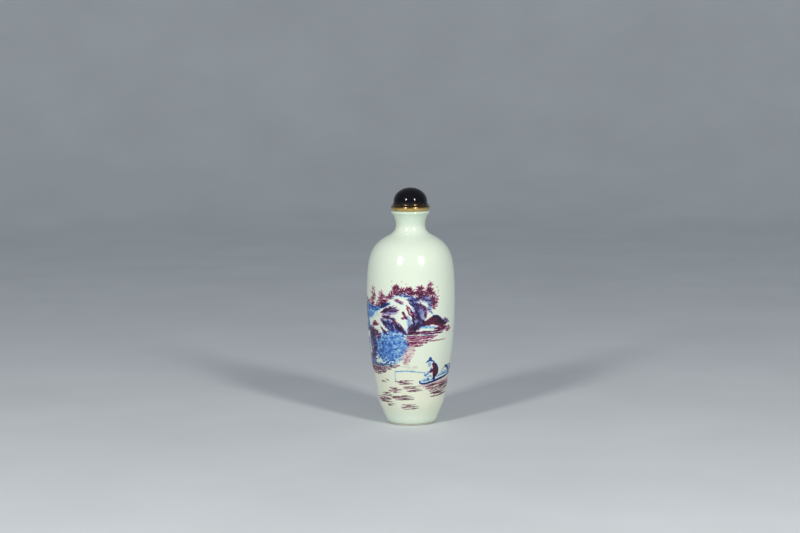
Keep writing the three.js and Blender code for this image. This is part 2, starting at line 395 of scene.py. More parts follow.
def dark_rock():
    """A long dark rock at the water's edge, with leaves at its end and blue beneath it."""
    upper = [(3.6, 37.5, 0.35), (5.3, 38.0, 1.0), (7.2, 38.7, 1.4), (8.9, 38.9, 1.45), (10.4, 38.5, 1.1)]
    lower = [(8.6, 37.7, 0.6), (10.6, 37.7, 1.0), (12.4, 37.5, 0.7), (13.6, 37.4, 0.4)]
    for lobe, strength in ((upper, 2.0), (lower, 1.5)):
        wash(COPPER, lobe, strength, soft=0.3, rough=0.2)
        brushwork(COPPER, lobe, 24, 1.1, -10, 0.34, 1.0, 25)
    top = [(7.2, 40.1, 0.3), (8.9, 40.3, 0.4), (10.4, 39.5, 0.5), (11.0, 38.2, 0.5)]
    wash(COPPER, top, 1.2, soft=0.3, rough=0.2)
    brushwork(COBALT, top, 22, 1.0, -25, 0.36, 1.1)
    wash(COBALT, [(3.6, 36.7, 0.5), (6.0, 36.5, 0.6), (8.6, 36.2, 0.5)], 0.7)
    wash(COBALT, [(3.0, 37.6, 0.4), (4.0, 37.2, 0.4)], 0.5)
    fold([(11.2, 38.4, 0.7), (13.0, 38.3, 0.8), (15.2, 38.0, 0.4)], -10, 0.6, 0.6, 56, 0.7, 45)


def ripple(sheet, u, v, length, width, strength, climb=0.03):
    """A long water line that wavers a little."""
    count = max(3, round(length / 1.1))
    points = []
    for step in range(count + 1):
        along = length * step / count
        waver = 0.07 * math.sin(2.4 * along + 3 * v) + between(-0.05, 0.05)
        points.append((u + along, v + climb * along + waver))
    stroke(sheet, points, about(width, 0.15), about(strength, 0.2), heavy=between(0.25, 0.6),
           tip=0.25, rough=0.08)


def ripples(sheet, rows, spacing, width, strength, climb=0.03, gaps=0.7):
    """Broken water lines between the left and right ends that (v, left, right) rows give."""
    heights = [row[0] for row in rows]
    v = heights[0]
    while v < heights[-1]:
        left = np.interp(v, heights, [row[1] for row in rows])
        right = np.interp(v, heights, [row[2] for row in rows])
        u = left + between(-0.5, 0.8)
        while u < right - 0.6:
            length = min(between(3.4, 8.0), right - u)
            ripple(sheet, u, v + between(-0.08, 0.08), length, width, strength, climb)
            u += length * between(gaps, gaps + 0.45)
        v += about(spacing, 0.25)


def water():
    """Long ripples under the shore, over thin red washes."""
    for spine in ([(-1.2, 34.3, 0.5), (2.4, 34.6, 0.8), (7.0, 34.6, 0.5)],
                  [(-1.0, 32.6, 0.9), (3.0, 32.8, 1.0), (7.6, 33.0, 0.6)],
                  [(-0.8, 30.8, 0.8), (2.6, 30.8, 0.7), (5.4, 31.0, 0.4)]):
        wash(COPPER, spine, 0.38)
    fold([(8.8, 35.8, 0.3), (10.8, 36.0, 0.6), (13.2, 36.0, 0.5)], 4, 1.2, 0.0, 30, 1.8, 8)
    ripples(COPPER, [(34.2, -2.2, 12.0), (34.7, -1.8, 16.5), (35.3, 0.5, 17.0)], 0.42, 0.38, 1.55)
    ripples(COPPER, [(35.3, 9.0, 17.0), (36.8, 9.5, 15.0)], 0.5, 0.32, 1.2)
    ripples(COPPER, [(29.6, -2.4, 3.4), (31.4, -2.4, 6.4), (34.2, -2.2, 11.5)], 0.5, 0.34, 1.45)
    ripple(COPPER, 6.0, 31.4, 7.6, 0.34, 1.2)
    ripples(COPPER, [(23.4, -3.6, -1.0), (26.0, -3.2, 0.6), (29.2, -3.0, 2.0)], 0.5, 0.26, 0.8)
    ripples(COBALT, [(33.4, -2.0, 8.0), (35.2, 0.0, 14.0)], 0.8, 0.26, 0.6)
    wash(COPPER, [(-2.4, 28.4, 0.6), (-1.7, 26.2, 0.8), (-2.2, 24.2, 0.5)], 0.15)
    ripples(UMBER, [(20.9, -3.6, 1.6), (23.2, -4.2, 3.0)], 0.7, 0.2, 0.2)


def left_bank():
    """A white rock touched with red, and the dark broken bank beside the tree."""
    wash(COBALT, [(-23.4, 41.2, 1.4), (-20.4, 38.8, 1.7), (-19.0, 35.4, 1.2)], 0.8)
    fold([(-15.6, 36.9, 0.5), (-14.4, 37.5, 0.8), (-13.0, 37.2, 0.4)], 10, 1.2, 0.0, 30)
    brow = [(-18.6, 35.0, 0.9), (-15.8, 34.4, 1.5), (-13.8, 33.6, 1.4), (-12.4, 32.6, 0.8)]
    fold(brow, 24, 1.2, 0.5, 90)
    bank = [(-16.6, 33.0, 1.7), (-15.8, 30.4, 1.6), (-15.8, 27.6, 1.4), (-16.6, 24.4, 1.4)]
    fold(bank, 30, 1.1, 1.1, 110, 1.0, 40)
    edge = [(-18.0, 33.6, 1.3), (-18.2, 30.0, 1.2), (-18.0, 26.6, 1.3), (-17.8, 23.6, 1.2)]
    wash(COBALT, edge, 0.55, soft=1.1)
    wash(COPPER, edge, 0.4, soft=1.1)
    fold([(-19.4, 35.4, 1.2), (-22.6, 35.0, 1.4), (-26.0, 34.0, 0.9)], 8, 0.6, 0.8, 70, 1.2, 25)
    fold([(-19.2, 25.0, 1.3), (-22.4, 24.8, 1.6), (-26.6, 23.8, 0.9)], 8, 0.5, 0.8, 70, 1.2, 25)
    fold([(-20.0, 31.4, 1.0), (-22.2, 29.4, 1.2), (-21.0, 27.2, 0.9)], 30, 0.4, 0.6, 60, 1.1, 40)


def round_tree():
    """The big round blue tree: a light wash with many darker touches."""
    crown = [(-12.8, 28.2, 2.6), (-11.2, 28.8, 4.6), (-8.6, 29.0, 5.6), (-6.2, 29.6, 5.0),
             (-4.0, 31.0, 3.0)]
    wash(COBALT, crown, 0.38, soft=1.8, rough=1.4)
    for u, v in places([(x, y, 1.08 * reach) for x, y, reach in crown], 560, even=True):
        shade = 0.7 + 0.3 * min(1.0, max(0.0, (-3.0 - u) / 8.0))
        dark = between(0, 1) < 0.13
        dab(COBALT, u, v, about(0.5 if dark else 0.8, 0.35), about(0.34, 0.3), between(-60, 60),
            (1.2 if dark else 0.42) * shade)
    for u, v in places([(-9.4, 34.0, 0.9), (-5.6, 35.0, 0.9), (-2.2, 33.6, 1.0)], 46):
        dab(COBALT, u, v, 0.8, 0.36, between(-40, 40), 0.6)
    for u, v in places([(-13.6, 25.6, 0.9), (-9.6, 23.8, 0.9), (-5.0, 24.4, 0.9)], 26):
        dab(COBALT, u, v, about(0.9, 0.3), 0.42, between(-10, 35), 0.9)
    spots(UMBER, (-4.6, 23.3), (-2.4, 25.6), 6, 0.26, 0.6)


def near_bank():
    """Ground under the round tree, drawn in greyed red."""
    wash(COPPER, [(-22.0, 21.2, 1.2), (-17.4, 21.0, 1.0), (-13.4, 21.2, 0.6)], 0.35)
    wash(UMBER, [(-22.0, 20.9, 1.2), (-17.0, 20.8, 1.1), (-12.0, 21.4, 0.7), (-7.0, 22.2, 0.3)], 0.25)
    wash(COBALT, [(-24.0, 23.0, 1.4), (-19.0, 22.8, 1.2), (-13.6, 22.6, 0.9), (-8.0, 22.8, 0.6)], 0.5)
    rows = [(19.0, -19.0, -13.6), (20.4, -22.0, -10.0), (21.6, -25.0, -6.4), (23.0, -28.0, -3.6)]
    ripples(UMBER, rows, 0.42, 0.28, 1.0, climb=0.04)
    ripples(COPPER, rows, 0.7, 0.28, 1.0, climb=0.04)
    for u, v in places([(-16.6, 19.0, 0.5), (-13.4, 19.6, 0.6), (-9.0, 21.2, 0.4)], 8):
        dab(UMBER, u, v, 1.1, 0.36, 5, 0.9)


def angler():
    """A seated angler with a plain oval face, in a wide coat and a pointed hat."""
    back = [(8.6, 23.0, 0.6), (9.4, 21.9, 0.95), (9.8, 20.6, 1.35), (9.8, 19.4, 1.25)]
    wash(COPPER, back, 2.2, soft=0.25, rough=0.12)
    wash(COPPER, [(9.0, 21.0, 0.7), (8.0, 20.4, 0.6), (7.3, 20.0, 0.3)], 1.7, soft=0.25, rough=0.1)
    stroke(COBALT, [(8.6, 23.6), (10.0, 22.6), (11.0, 21.0), (11.1, 19.2)], 0.7, 1.5, tip=0.4)
    wash(COBALT, [(9.6, 18.6, 0.7), (9.4, 17.6, 0.7)], 2.4, soft=0.25, rough=0.1)
    wash(COBALT, [(7.9, 21.4, 0.4), (7.4, 20.4, 0.4)], 1.1, soft=0.3, rough=0.1)
    wash(COBALT, [(7.0, 23.2, 0.6), (7.0, 22.7, 0.6)], 0.34, soft=0.25, rough=0.05)
    rim = [(7.0 + 0.62 * math.cos(t), 22.95 + 0.8 * math.sin(t)) for t in np.linspace(0, 2 * math.pi, 9)]
    line(COBALT, rim, 0.16, 0.6)
    stroke(COBALT, [(5.6, 23.7), (6.6, 24.3), (7.6, 24.3), (9.0, 23.8)], 0.7, 1.6, tip=0.4)
    stroke(COBALT, [(6.6, 24.4), (7.2, 25.3), (7.8, 24.4)], 0.75, 1.5, heavy=0.5, tip=0.5)
    fold([(7.0, 20.0, 0.4), (6.0, 19.4, 0.5), (5.4, 18.8, 0.4)], -30, 0.0, 0.9, 12, 0.9, 30)
    fold([(8.4, 18.6, 0.4), (7.0, 18.0, 0.6), (5.6, 17.6, 0.4)], -10, 0.0, 0.5, 16, 1.1, 20)
    line(COBALT, [(5.6, 19.9), (2.6, 20.3), (-1.6, 20.7), (-6.4, 20.4)], 0.3, 0.65)
    line(COBALT, [(-6.5, 20.3), (-6.6, 18.6), (-6.4, 16.4)], 0.3, 0.45)


def boat():
    """A low boat with a rounded canopy at its stern."""
    wash(COBALT, [(3.6, 16.9, 0.35), (6.0, 17.1, 0.5), (8.6, 17.4, 0.4)], 0.5, soft=0.45)
    wash(COBALT, [(11.6, 18.6, 0.5), (14.0, 19.2, 0.9), (16.6, 19.4, 1.0), (18.4, 19.0, 0.6)], 0.3)
    hull = [(3.2, 16.8), (3.6, 16.2), (5.4, 15.95), (8.6, 16.5), (13.0, 17.4), (21.0, 18.6)]
    stroke(COBALT, hull, 0.85, 2.1, heavy=0.55, tip=0.55)
    stroke(COPPER, [(5.4, 16.1), (9.4, 16.6), (15.4, 17.6)], 0.5, 1.0)
    line(COBALT, [(10.8, 18.2), (13.4, 18.7), (16.0, 19.0), (18.6, 19.2)], 0.26, 1.0)
    stroke(COBALT, [(15.4, 21.6), (16.8, 21.2), (18.2, 20.2), (19.2, 18.8)], 1.3, 2.2, heavy=0.6, tip=0.6)
    stroke(COBALT, [(12.8, 19.6), (14.2, 20.9), (16.4, 21.7), (19.6, 21.8), (23.4, 20.6)], 0.4, 1.1)
    fold([(19.4, 20.6, 0.9), (21.6, 20.0, 1.1), (24.0, 19.2, 0.6)], 0, 0.35, 1.1, 30, 1.4)


# Patches of broken water below the boat: left, right, low, high, how many ripples.
LOW_WATER = (
    (-10.6, -4.0, 12.4, 14.4, 4), (-16.0, -8.0, 11.0, 12.4, 3), (-20.0, -8.0, 8.6, 10.4, 6),
    (-10.0, 1.6, 9.8, 11.6, 5), (-5.4, 4.0, 6.4, 8.2, 5), (-5.0, 5.0, 13.0, 15.0, 4),
    (-14.6, -9.0, 16.0, 17.4, 2), (-6.8, 2.2, 15.6, 17.2, 3), (8.0, 21.0, 10.8, 12.4, 5),
    (-12.0, -7.0, 7.4, 8.4, 2),
)


def foreground():
    """Greyed ripples under the boat, fading away towards the foot."""
    wash(COPPER, [(3.0, 15.2, 0.4), (9.0, 15.6, 0.6), (14.0, 16.0, 0.9), (20.0, 16.6, 1.0)], 0.3)
    shallows = [(9.0, 14.6, 0.6), (13.0, 14.8, 1.2), (19.0, 15.0, 1.5), (24.0, 15.6, 0.8)]
    wash(UMBER, shallows, 0.2, soft=1.3)
    under = [(11.8, 9.4, 16.0), (13.2, 7.4, 20.0), (14.6, 4.6, 24.0), (15.4, 7.0, 28.0)]
    ripples(COPPER, under, 0.5, 0.27, 1.2, climb=0.11)
    ripples(UMBER, under, 0.5, 0.26, 1.1, climb=0.11)
    for left, right, low, high, count in LOW_WATER:
        for turn in range(2 * count):
            length = (right - left) * between(0.2, 0.75)
            u = left + (right - left - length) * between(0, 1)
            v = low + (high - low) * (turn + 0.5) / (2 * count)
            ripple(UMBER, u, v, length, 0.23, 1.1, 0.04)
            ripple(COPPER, u + between(-0.3, 0.3), v + between(-0.1, 0.1), 0.6 * length, 0.2, 0.6, 0.04)
    wash(COPPER, [(-17.6, 9.6, 0.4), (-14.4, 9.6, 0.6), (-11.6, 9.8, 0.4)], 0.35)
    wash(COPPER, [(-9.6, 13.2, 0.4), (-7.6, 13.6, 0.7), (-6.0, 14.6, 0.5)], 0.2)
    for spine in ([(-8.4, 11.0, 0.3), (-4.0, 11.1, 0.4), (0.2, 11.0, 0.3)],
                  [(-4.0, 7.6, 0.3), (-1.0, 7.4, 0.5), (2.0, 7.2, 0.3)]):
        wash(UMBER, spine, 0.2)


# Far hills and pines that carry the scene round the back. A hill has a strength first.
FAR_HILLS = (
    (0.4, [(-34.0, 40.4, 0.8), (-30.0, 42.4, 1.6), (-26.0, 43.4, 1.9), (-22.0, 43.4, 1.5)]),
    (0.25, [(-44.0, 38.6, 0.6), (-40.0, 40.2, 1.2), (-36.5, 39.2, 0.9), (-33.0, 38.2, 0.5)]),
    (0.3, [(28.0, 38.0, 0.4), (32.0, 39.6, 1.1), (36.5, 40.8, 1.5), (45.0, 38.2, 0.4)]),
)
FAR_PINES = (
    [(-31.0, 44.2, 0.4), (-26.0, 46.0, 0.9), (-18.6, 44.6, 0.7)],
    [(34.6, 42.2, 0.3), (37.4, 43.0, 0.6)],
)


def back_of_scene():
    """Plainer hills, a small pine and a few ripples that carry the scene round the back."""
    for strength, spine in FAR_HILLS:
        wash(COBALT, spine, strength, soft=1.3)
    line(COBALT, [(29.0, 38.4), (32.6, 40.6), (36.0, 42.2), (39.4, 40.8), (43.0, 39.0)], 0.24, 0.5)
    line(COBALT, [(-43.5, 39.0), (-40.0, 41.3), (-36.5, 40.0), (-33.5, 40.9), (-29.5, 43.8)], 0.24, 0.5)
    fold([(33.6, 40.6, 0.5), (38.4, 40.2, 0.7)], -40, 0.3, 0.1, 60)
    fold([(-31.0, 42.6, 0.6), (-26.0, 43.0, 0.9), (-21.0, 43.0, 0.8)], 26, 0.4, 0.1, 90)
    for spine in FAR_PINES:
        wash(COPPER, spine, 0.25)
        for u, v in places(spine, 20, even=True):
            tuft(COPPER, u, v, 0.8, strength=0.75)
    grove = [(-32.0, 32.0, 0.8), (-29.0, 31.0, 2.6), (-26.0, 30.4, 3.4)]
    wash(COBALT, grove, 0.35, soft=1.3)
    for u, v in places(grove, 90):
        dab(COBALT, u, v, 0.8, 0.34, between(-50, 50), 0.7)
    ripples(COPPER, [(30.6, 22.0, 34.0), (33.8, 18.0, 40.0)], 0.8, 0.24, 0.4, climb=0.0, gaps=1.4)
    ripples(COPPER, [(29.4, -46.0, -36.0), (32.4, -44.0, -34.0)], 0.9, 0.24, 0.35, climb=0.0, gaps=1.4)
    for left, low in ((25.0, 12.0), (-44.0, 15.0)):
        ripples(UMBER, [(low, left, left + 16), (low + 5, left, left + 20)], 1.1, 0.26, 0.5, gaps=1.6)


def paint_scene():
    underpainting()
    left_hillside()
    crest()
    cleft()
    pines()
    dark_rock()
    water()
    round_tree()
    left_bank()
    near_bank()
    foreground()
    boat()
    angler()
    back_of_scene()


# Outlines ---------------------------------------------------------------------------
# An outline is a list of (radius, height) points, turned about the Z axis. A pull is an
# offset from the end of a curve, which the curve leaves or reaches in that direction.

WALL = 1.9
CONTACT_RADIUS = 7.8            # outer edge of the ring that touches the ground
CONTACT_WIDTH = 1.4
RECESS = 0.9                    # depth of the hollow under the base
FOOT_ROUNDING = 0.8
HEEL, HEEL_LEAN = (9.3, 1.9), 0.36
FLARE, FLARE_LEAN = (12.2, 9.8), 0.17
FLARE_REACH, SIDE_REACH = 3.4, 12.6
BELLY = (design(body_high.x), 46.5)
BELLY_REACH, SHOULDER_RISE = 15.6, 13.3
SHOULDER_FOOT, SHOULDER_SLOPE, SHOULDER_REACH = (8.5, 67.55), 27, 7
NECK, NECK_REACH, NECK_STRAIGHT = (5.25, 71.5), 2, 1.1
LIP, LIP_SLOPE, LIP_REACH = (6.95, 76.05), 41, 1.95
LIP_FLAT_RADIUS = 6.3
LIP_ROUNDING = 0.22
BORE_RADIUS = NECK[0] - WALL
BORE_STRAIGHT = 2.4             # from the mouth down
FLOOR = 4.2                     # inside floor above the ground
FLOOR_CORNER = 2.4
GLAZE_END = 0.62                # height where the glaze stops above the ground
GLAZE_STEP = 0.11               # how far it stands proud of the bare rim


def bezier(start, pull_start, pull_end, end, steps):
    """Points of a cubic curve, without its first one."""
    a, d = np.array(start), np.array(end)
    b, c = a + np.array(pull_start), d + np.array(pull_end)
    t = (np.arange(1, steps + 1) / steps)[:, None]
    return a * (1 - t) ** 3 + 3 * b * t * (1 - t) ** 2 + 3 * c * t * t * (1 - t) + d * t ** 3


def quarter(start, end, steps, level=False):
    """Points of a quarter ellipse, without its first one; it leaves start upright or level."""
    turn = np.arange(1, steps + 1) / steps * math.pi / 2
    a, b = (np.sin(turn), 1 - np.cos(turn)) if level else (1 - np.cos(turn), np.sin(turn))
    return np.column_stack([start[0] + (end[0] - start[0]) * a, start[1] + (end[1] - start[1]) * b])


def rising(reach, lean=0.0):
    """A pull up by reach, that goes out by lean for each unit of rise."""
    return lean * reach, reach


def outer_outline():
    """The outside from the contact ring's edge to the edge of the lip's flat top."""
    start = [(CONTACT_RADIUS, 0)]
    foot = bezier(start[0], (FOOT_ROUNDING, 0), rising(-FOOT_ROUNDING, HEEL_LEAN), HEEL, 24)
    heel = bezier(HEEL, rising(FLARE_REACH, HEEL_LEAN), rising(-FLARE_REACH, FLARE_LEAN), FLARE, 40)
    side = bezier(FLARE, rising(SIDE_REACH, FLARE_LEAN), rising(-BELLY_REACH), BELLY, 120)
    shoulder = bezier(BELLY, rising(SHOULDER_RISE), toward(-SHOULDER_SLOPE, SHOULDER_REACH),
                      SHOULDER_FOOT, 80)
    root = bezier(SHOULDER_FOOT, toward(-SHOULDER_SLOPE, -NECK_REACH), rising(-NECK_REACH), NECK, 24)
    flare = bezier(NECK, rising(NECK_STRAIGHT), toward(LIP_SLOPE, -LIP_REACH), LIP, 24)
    edge = quarter(LIP, (LIP_FLAT_RADIUS, BOTTLE_HEIGHT), 8)
    return np.vstack([start, foot, heel, side, shoulder, root, flare, edge])


OUTER = outer_outline()


def radius_at(height):
    return np.interp(height, OUTER[:, 1], OUTER[:, 0])


def outside_between(low, high):
    """The part of the outside above low and up to high."""
    return OUTER[(OUTER[:, 1] > low) & (OUTER[:, 1] <= high)]


def inward(outline, distance):
    """An outline moved sideways, to its left as it is followed."""
    ahead = np.gradient(outline, axis=0)
    ahead /= np.hypot(ahead[:, 0], ahead[:, 1])[:, None]
    return outline + distance * np.column_stack([-ahead[:, 1], ahead[:, 0]])


def respaced(outline, gap):
    """The same outline with points about gap apart, its ends kept."""
    far = travelled(outline)
    at = np.linspace(0, far[-1], max(2, round(far[-1] / gap) + 1))
    return np.column_stack([np.interp(at, far, outline[:, i]) for i in (0, 1)])


STRAIGHT_ENOUGH = -0.8          # cosine of a corner that is left as it is
CORNER_SHARE = 0.4              # most of a side that one rounding may take
FLAT_LEAD = 1.25                # where a flat gets a point, in reaches from the corner


def rounded(outline, radius, steps=3):
    """Rounds the sharp corners of an outline, and keeps its flats flat beside them."""
    points = [np.array(p, float) for p in outline]
    made = [points[0]]
    for before, here, after in zip(points, points[1:], points[2:]):
        back, ahead = before - here, after - here
        back_length, ahead_length = np.hypot(*back), np.hypot(*ahead)
        back, ahead = back / back_length, ahead / ahead_length
        if back @ ahead < STRAIGHT_ENOUGH:
            made.append(here)
            continue
        reach = min(radius, CORNER_SHARE * back_length, CORNER_SHARE * ahead_length)
        made.append(here + back * reach * FLAT_LEAD)
        for t in np.linspace(0, 1, steps + 1):
            made.append(here + back * reach * (1 - t) ** 2 + ahead * reach * t * t)
        made.append(here + ahead * reach * FLAT_LEAD)
    return np.array(made + [points[-1]])


def inner_outline():
    """The inside, from the bore's top edge down the wall and over the floor to the axis."""
    wall = inward(outside_between(0.5, NECK[1]), WALL)
    wall = wall[(wall[:, 0] > BORE_RADIUS) & (wall[:, 1] > FLOOR + FLOOR_CORNER)][::-1]
    wall = respaced(wall, 1.3)
    corner = quarter(wall[-1], (wall[-1][0] - FLOOR_CORNER, FLOOR), 6)
    heights = (BOTTLE_HEIGHT, BOTTLE_HEIGHT - BORE_STRAIGHT, wall[0][1] + WALL / 2)
    bore = [(BORE_RADIUS, height) for height in heights]
    floor = [(corner[-1][0] * share, FLOOR) for share in (0.66, 0.33)]
    return np.vstack([bore, wall, corner, floor])


def foot_outline():
    """The base under the painted band: recess, contact ring, bare rim and edge of glaze."""
    ring = CONTACT_RADIUS - CONTACT_WIDTH
    recess = [(radius, RECESS) for radius in (0.001, 2.0, 4.0, ring - RECESS)]
    base = rounded(recess + [(ring, 0), (CONTACT_RADIUS, 0)], 0.16)
    outside = outside_between(0.02, PAINT_LOW - 0.1)
    heights = np.concatenate([
        np.linspace(0.06, GLAZE_END - 0.06, 7), GLAZE_END + np.array([-0.02, 0.0, 0.03, 0.07, 0.12]),
        np.linspace(GLAZE_END + 0.2, PAINT_LOW - 0.35, 9),
    ])
    radii = np.interp(heights, outside[:, 1], outside[:, 0])
    bare = np.clip((GLAZE_END + 0.05 - heights) / 0.1, 0, 1)
    rim = np.column_stack([radii - GLAZE_STEP * bare, heights])
    rim[0, 0] = radii[0] - 0.5 * GLAZE_STEP
    return np.vstack([base[1:-1], [(CONTACT_RADIUS - 0.02, 0.0)], rim])


def crown_outline():
    """From the top of the painted band over the shoulder, neck and lip, and all the inside."""
    shoulder = respaced(outside_between(PAINT_HIGH + 0.3, SHOULDER_FOOT[1]), 0.62)
    neck = respaced(outside_between(SHOULDER_FOOT[1], BOTTLE_HEIGHT), 0.3)[1:]
    inside = inner_outline()
    mouth = rounded(np.vstack([neck[-2:], inside[:2]]), LIP_ROUNDING, 4)[1:-1]
    return np.vstack([shoulder, neck[:-1], mouth, inside[1:]])


# Turned surfaces --------------------------------------------------------------------

def outline_normals(outline):
    """Outward (radial, upright) normals of an outline that has its outside on the right."""
    steps = np.diff(outline, axis=0)
    lengths = np.hypot(steps[:, 0], steps[:, 1])[:, None]
    face = np.column_stack([steps[:, 1], -steps[:, 0]]) / lengths
    between_faces = face[:-1] / lengths[:-1] + face[1:] / lengths[1:]
    normals = np.vstack([face[:1], between_faces, face[-1:]])
    return normals / np.hypot(normals[:, 0], normals[:, 1])[:, None]


def map_heights(outline, low, high):
    """Map heights from low to high in step with the distance along an outline."""
    far = travelled(outline)
    return low + (high - low) * far / far[-1]


class Surface:
    """Vertices and faces of one turned piece. Columns count round it from the back."""

    def __init__(self, columns, turn):
        self.turn = turn                # fine column numbers in a full turn
        self.step = turn // columns     # fine columns in a coarse one
        self.left = np.arange(columns)
        self.right = (self.left + 1) % columns
        self.points, self.normals, self.extra = [], [], []
        self.faces, self.map = [], []
        self.count = 0

    def add_points(self, radius, height, normal, column, extra=(0.0, 0.0, 0.0)):
        """Adds points by fine column number; returns their indices."""
        angle = 2 * math.pi * np.asarray(column) / self.turn - math.pi
        size = len(angle)
        side, front = np.sin(angle), -np.cos(angle)
        out, up = np.broadcast_to(normal, (size, 2)).T
        heights = np.broadcast_to(height, size)
        self.points.append(np.column_stack([radius * side, radius * front, heights]))
        self.normals.append(np.column_stack([out * side, out * front, up]))
        self.extra.append(np.broadcast_to(extra, (size, 3)))
        self.count += size
        return np.arange(self.count - size, self.count)

    def add_faces(self, corners, columns, heights):
        """Faces as arrays of vertex, fine column and map height, one column for each corner."""
        self.faces.extend(corners.tolist())
        self.map.append(np.column_stack([(columns / self.turn).ravel(), heights.ravel()]))

    def join(self, lower, upper, low_v, high_v):
        """A row of quads between two rings of indices."""
        left, right = self.left, self.right
        corners = np.column_stack([lower[left], lower[right], upper[right], upper[left]])
        columns = np.column_stack([left, left + 1, left + 1, left]) * self.step
        heights = np.tile([low_v, low_v, high_v, high_v], (len(left), 1))
        self.add_faces(corners, columns, heights)

    def rings(self, outline, normals, map_v):
        """Rings along an outline, joined to each other; returns the first and the last."""
        columns = self.left * self.step
        made = [self.add_points(r, z, n, columns) for (r, z), n in zip(outline, normals)]
        for index in range(len(made) - 1):
            self.join(made[index], made[index + 1], map_v[index], map_v[index + 1])
        return made[0], made[-1]

    def cap(self, ring, height, facing, ring_v, pole_v):
        """Closes a ring with a fan to one point on the axis; it faces up (1) or down (-1)."""
        pole = self.add_points(0.0, height, (0, facing), [0])
        left = self.left
        corners = np.column_stack([ring[left], ring[self.right], np.repeat(pole, len(left))])
        columns = np.column_stack([left, left + 1, left + 0.5]) * self.step
        heights = np.tile([ring_v, ring_v, pole_v], (len(left), 1))
        self.add_faces(*(part[:, ::facing] for part in (corners, columns, heights)))

    def finished(self, name, material, attributes=()):
        """The Blender object, in metres, with its map and its own smooth normals."""
        mesh = bpy.data.meshes.new(name)
        mesh.from_pydata((np.vstack(self.points) * UNIT).tolist(), [], self.faces)
        layer = mesh.uv_layers.new(name="OFBake")
        layer.data.foreach_set("uv", np.vstack(self.map).astype(np.float32).ravel())
        for attribute, values in zip(attributes, np.vstack(self.extra).T):
            data = mesh.attributes.new(attribute, "FLOAT", "POINT").data
            data.foreach_set("value", np.ascontiguousarray(values, np.float32))
        mesh.polygons.foreach_set("use_smooth", [True] * len(mesh.polygons))
        mesh.normals_split_custom_set_from_vertices(np.vstack(self.normals).tolist())
        mesh.materials.append(material)
        made = bpy.data.objects.new(name, mesh)
        bpy.context.scene.collection.objects.link(made)
        return made


def turned_piece(name, outline, columns, material):
    """A closed turned piece whose outline runs from the axis at its foot to the axis on top."""
    surface = Surface(columns, columns)
    normals = outline_normals(outline)
    map_v = map_heights(outline, 0.02, 0.98)
    first, last = surface.rings(outline[1:-1], normals[1:-1], map_v[1:-1])
    surface.cap(first, outline[0][1], -1, map_v[1], map_v[0])
    surface.cap(last, outline[-1][1], 1, map_v[-2], map_v[-1])
    return surface.finished(name, material)


# The painted band -------------------------------------------------------------------

SPLIT_ABOVE = 0.26              # error of cover that a flat cell may hide
FINE_TURN = BASE_COLUMNS * 2 ** LEVELS
FINE_RISE = BASE_ROWS * 2 ** LEVELS
MAP_FOOT, MAP_BAND, MAP_CROWN = 0.01, (0.09, 0.80), 0.99
MAP_POLE = 0.005                # from the last ring to the pole beyond it
NEIGHBOURS = ((-1, 0), (0, 1), (1, 0), (0, -1))


def folded(sheet):
    """A sheet with its overlaps folded in, as cover from 0 to 1 at the finest mesh nodes."""
    core = sheet[:, OVERLAP:-OVERLAP].copy()
    core[:, :OVERLAP] += sheet[:, -OVERLAP:]
    core[:, -OVERLAP:] += sheet[:, :OVERLAP]
    covered = 1 - np.exp(-core)
    padded = np.vstack([covered[:1], covered, covered[-1:]])
    nodes = 0.5 * (padded[0::SAMPLES][: FINE_RISE + 1] + padded[1::SAMPLES])
    return 0.5 * (nodes[:, ::SAMPLES] + np.roll(nodes, 1, axis=1)[:, ::SAMPLES])


def beside(cells, rows, columns):
    """The cell that is rows up and columns right of each one; nothing above or below the band."""
    moved = np.roll(cells, (-rows, -columns), axis=(0, 1))
    if rows:
        moved[-1 if rows > 0 else 0] = False
    return moved


def flat_error(field, size):
    """The worst error of cover in each cell of that size, if it were one flat quad."""
    corner = field[::size, ::size]
    worst = np.zeros((corner.shape[0] - 1, corner.shape[1] - 1), np.float32)
    rows, columns = (count * size for count in worst.shape)
    for up in range(size + 1):
        for right in range(size + 1):
            x, y = right / size, up / size
            plain = ((1 - y) * ((1 - x) * corner[:-1, :-1] + x * corner[:-1, 1:])
                     + y * ((1 - x) * corner[1:, :-1] + x * corner[1:, 1:]))
            here = field[up:up + rows:size, right:right + columns:size][:worst.shape[0], :worst.shape[1]]
            worst = np.maximum(worst, np.abs(here - plain).max(axis=-1))
    return worst


def cells_to_split(field):
    """For each level, the cells whose paint is too fine for them, kept in balance."""
    splits = [flat_error(field, 2 ** (LEVELS - level)) > SPLIT_ABOVE for level in range(LEVELS)]
    for level in range(LEVELS - 1, 0, -1):
        near = splits[level].copy()
        for rows, columns in NEIGHBOURS:
            near |= beside(splits[level], rows, columns)
        splits[level - 1] |= near[::2, ::2] | near[1::2, ::2] | near[::2, 1::2] | near[1::2, 1::2]
    return splits


def cell_ring(row, column, size):
    """The (row, column) nodes at the corners of cells, round from the lower left."""
    low, left = row * size, column * size
    return [(low, left), (low, left + size), (low + size, left + size), (low + size, left)]


def fan(ring, size, finer):
    """Triangles round the middle of each cell, two on each side that meets finer cells."""
    centre = (ring[0][0] + size // 2, ring[0][1] + size // 2)
    for a, b, broken in zip(ring, ring[1:] + ring[:1], finer):
        middle = ((a[0] + b[0]) // 2, (a[1] + b[1]) // 2)
        for corners, chosen in (((a, middle, centre), broken), ((middle, b, centre), broken),
                                ((a, b, centre), ~broken)):
            yield np.stack([np.array(node)[:, chosen] for node in corners], -1)


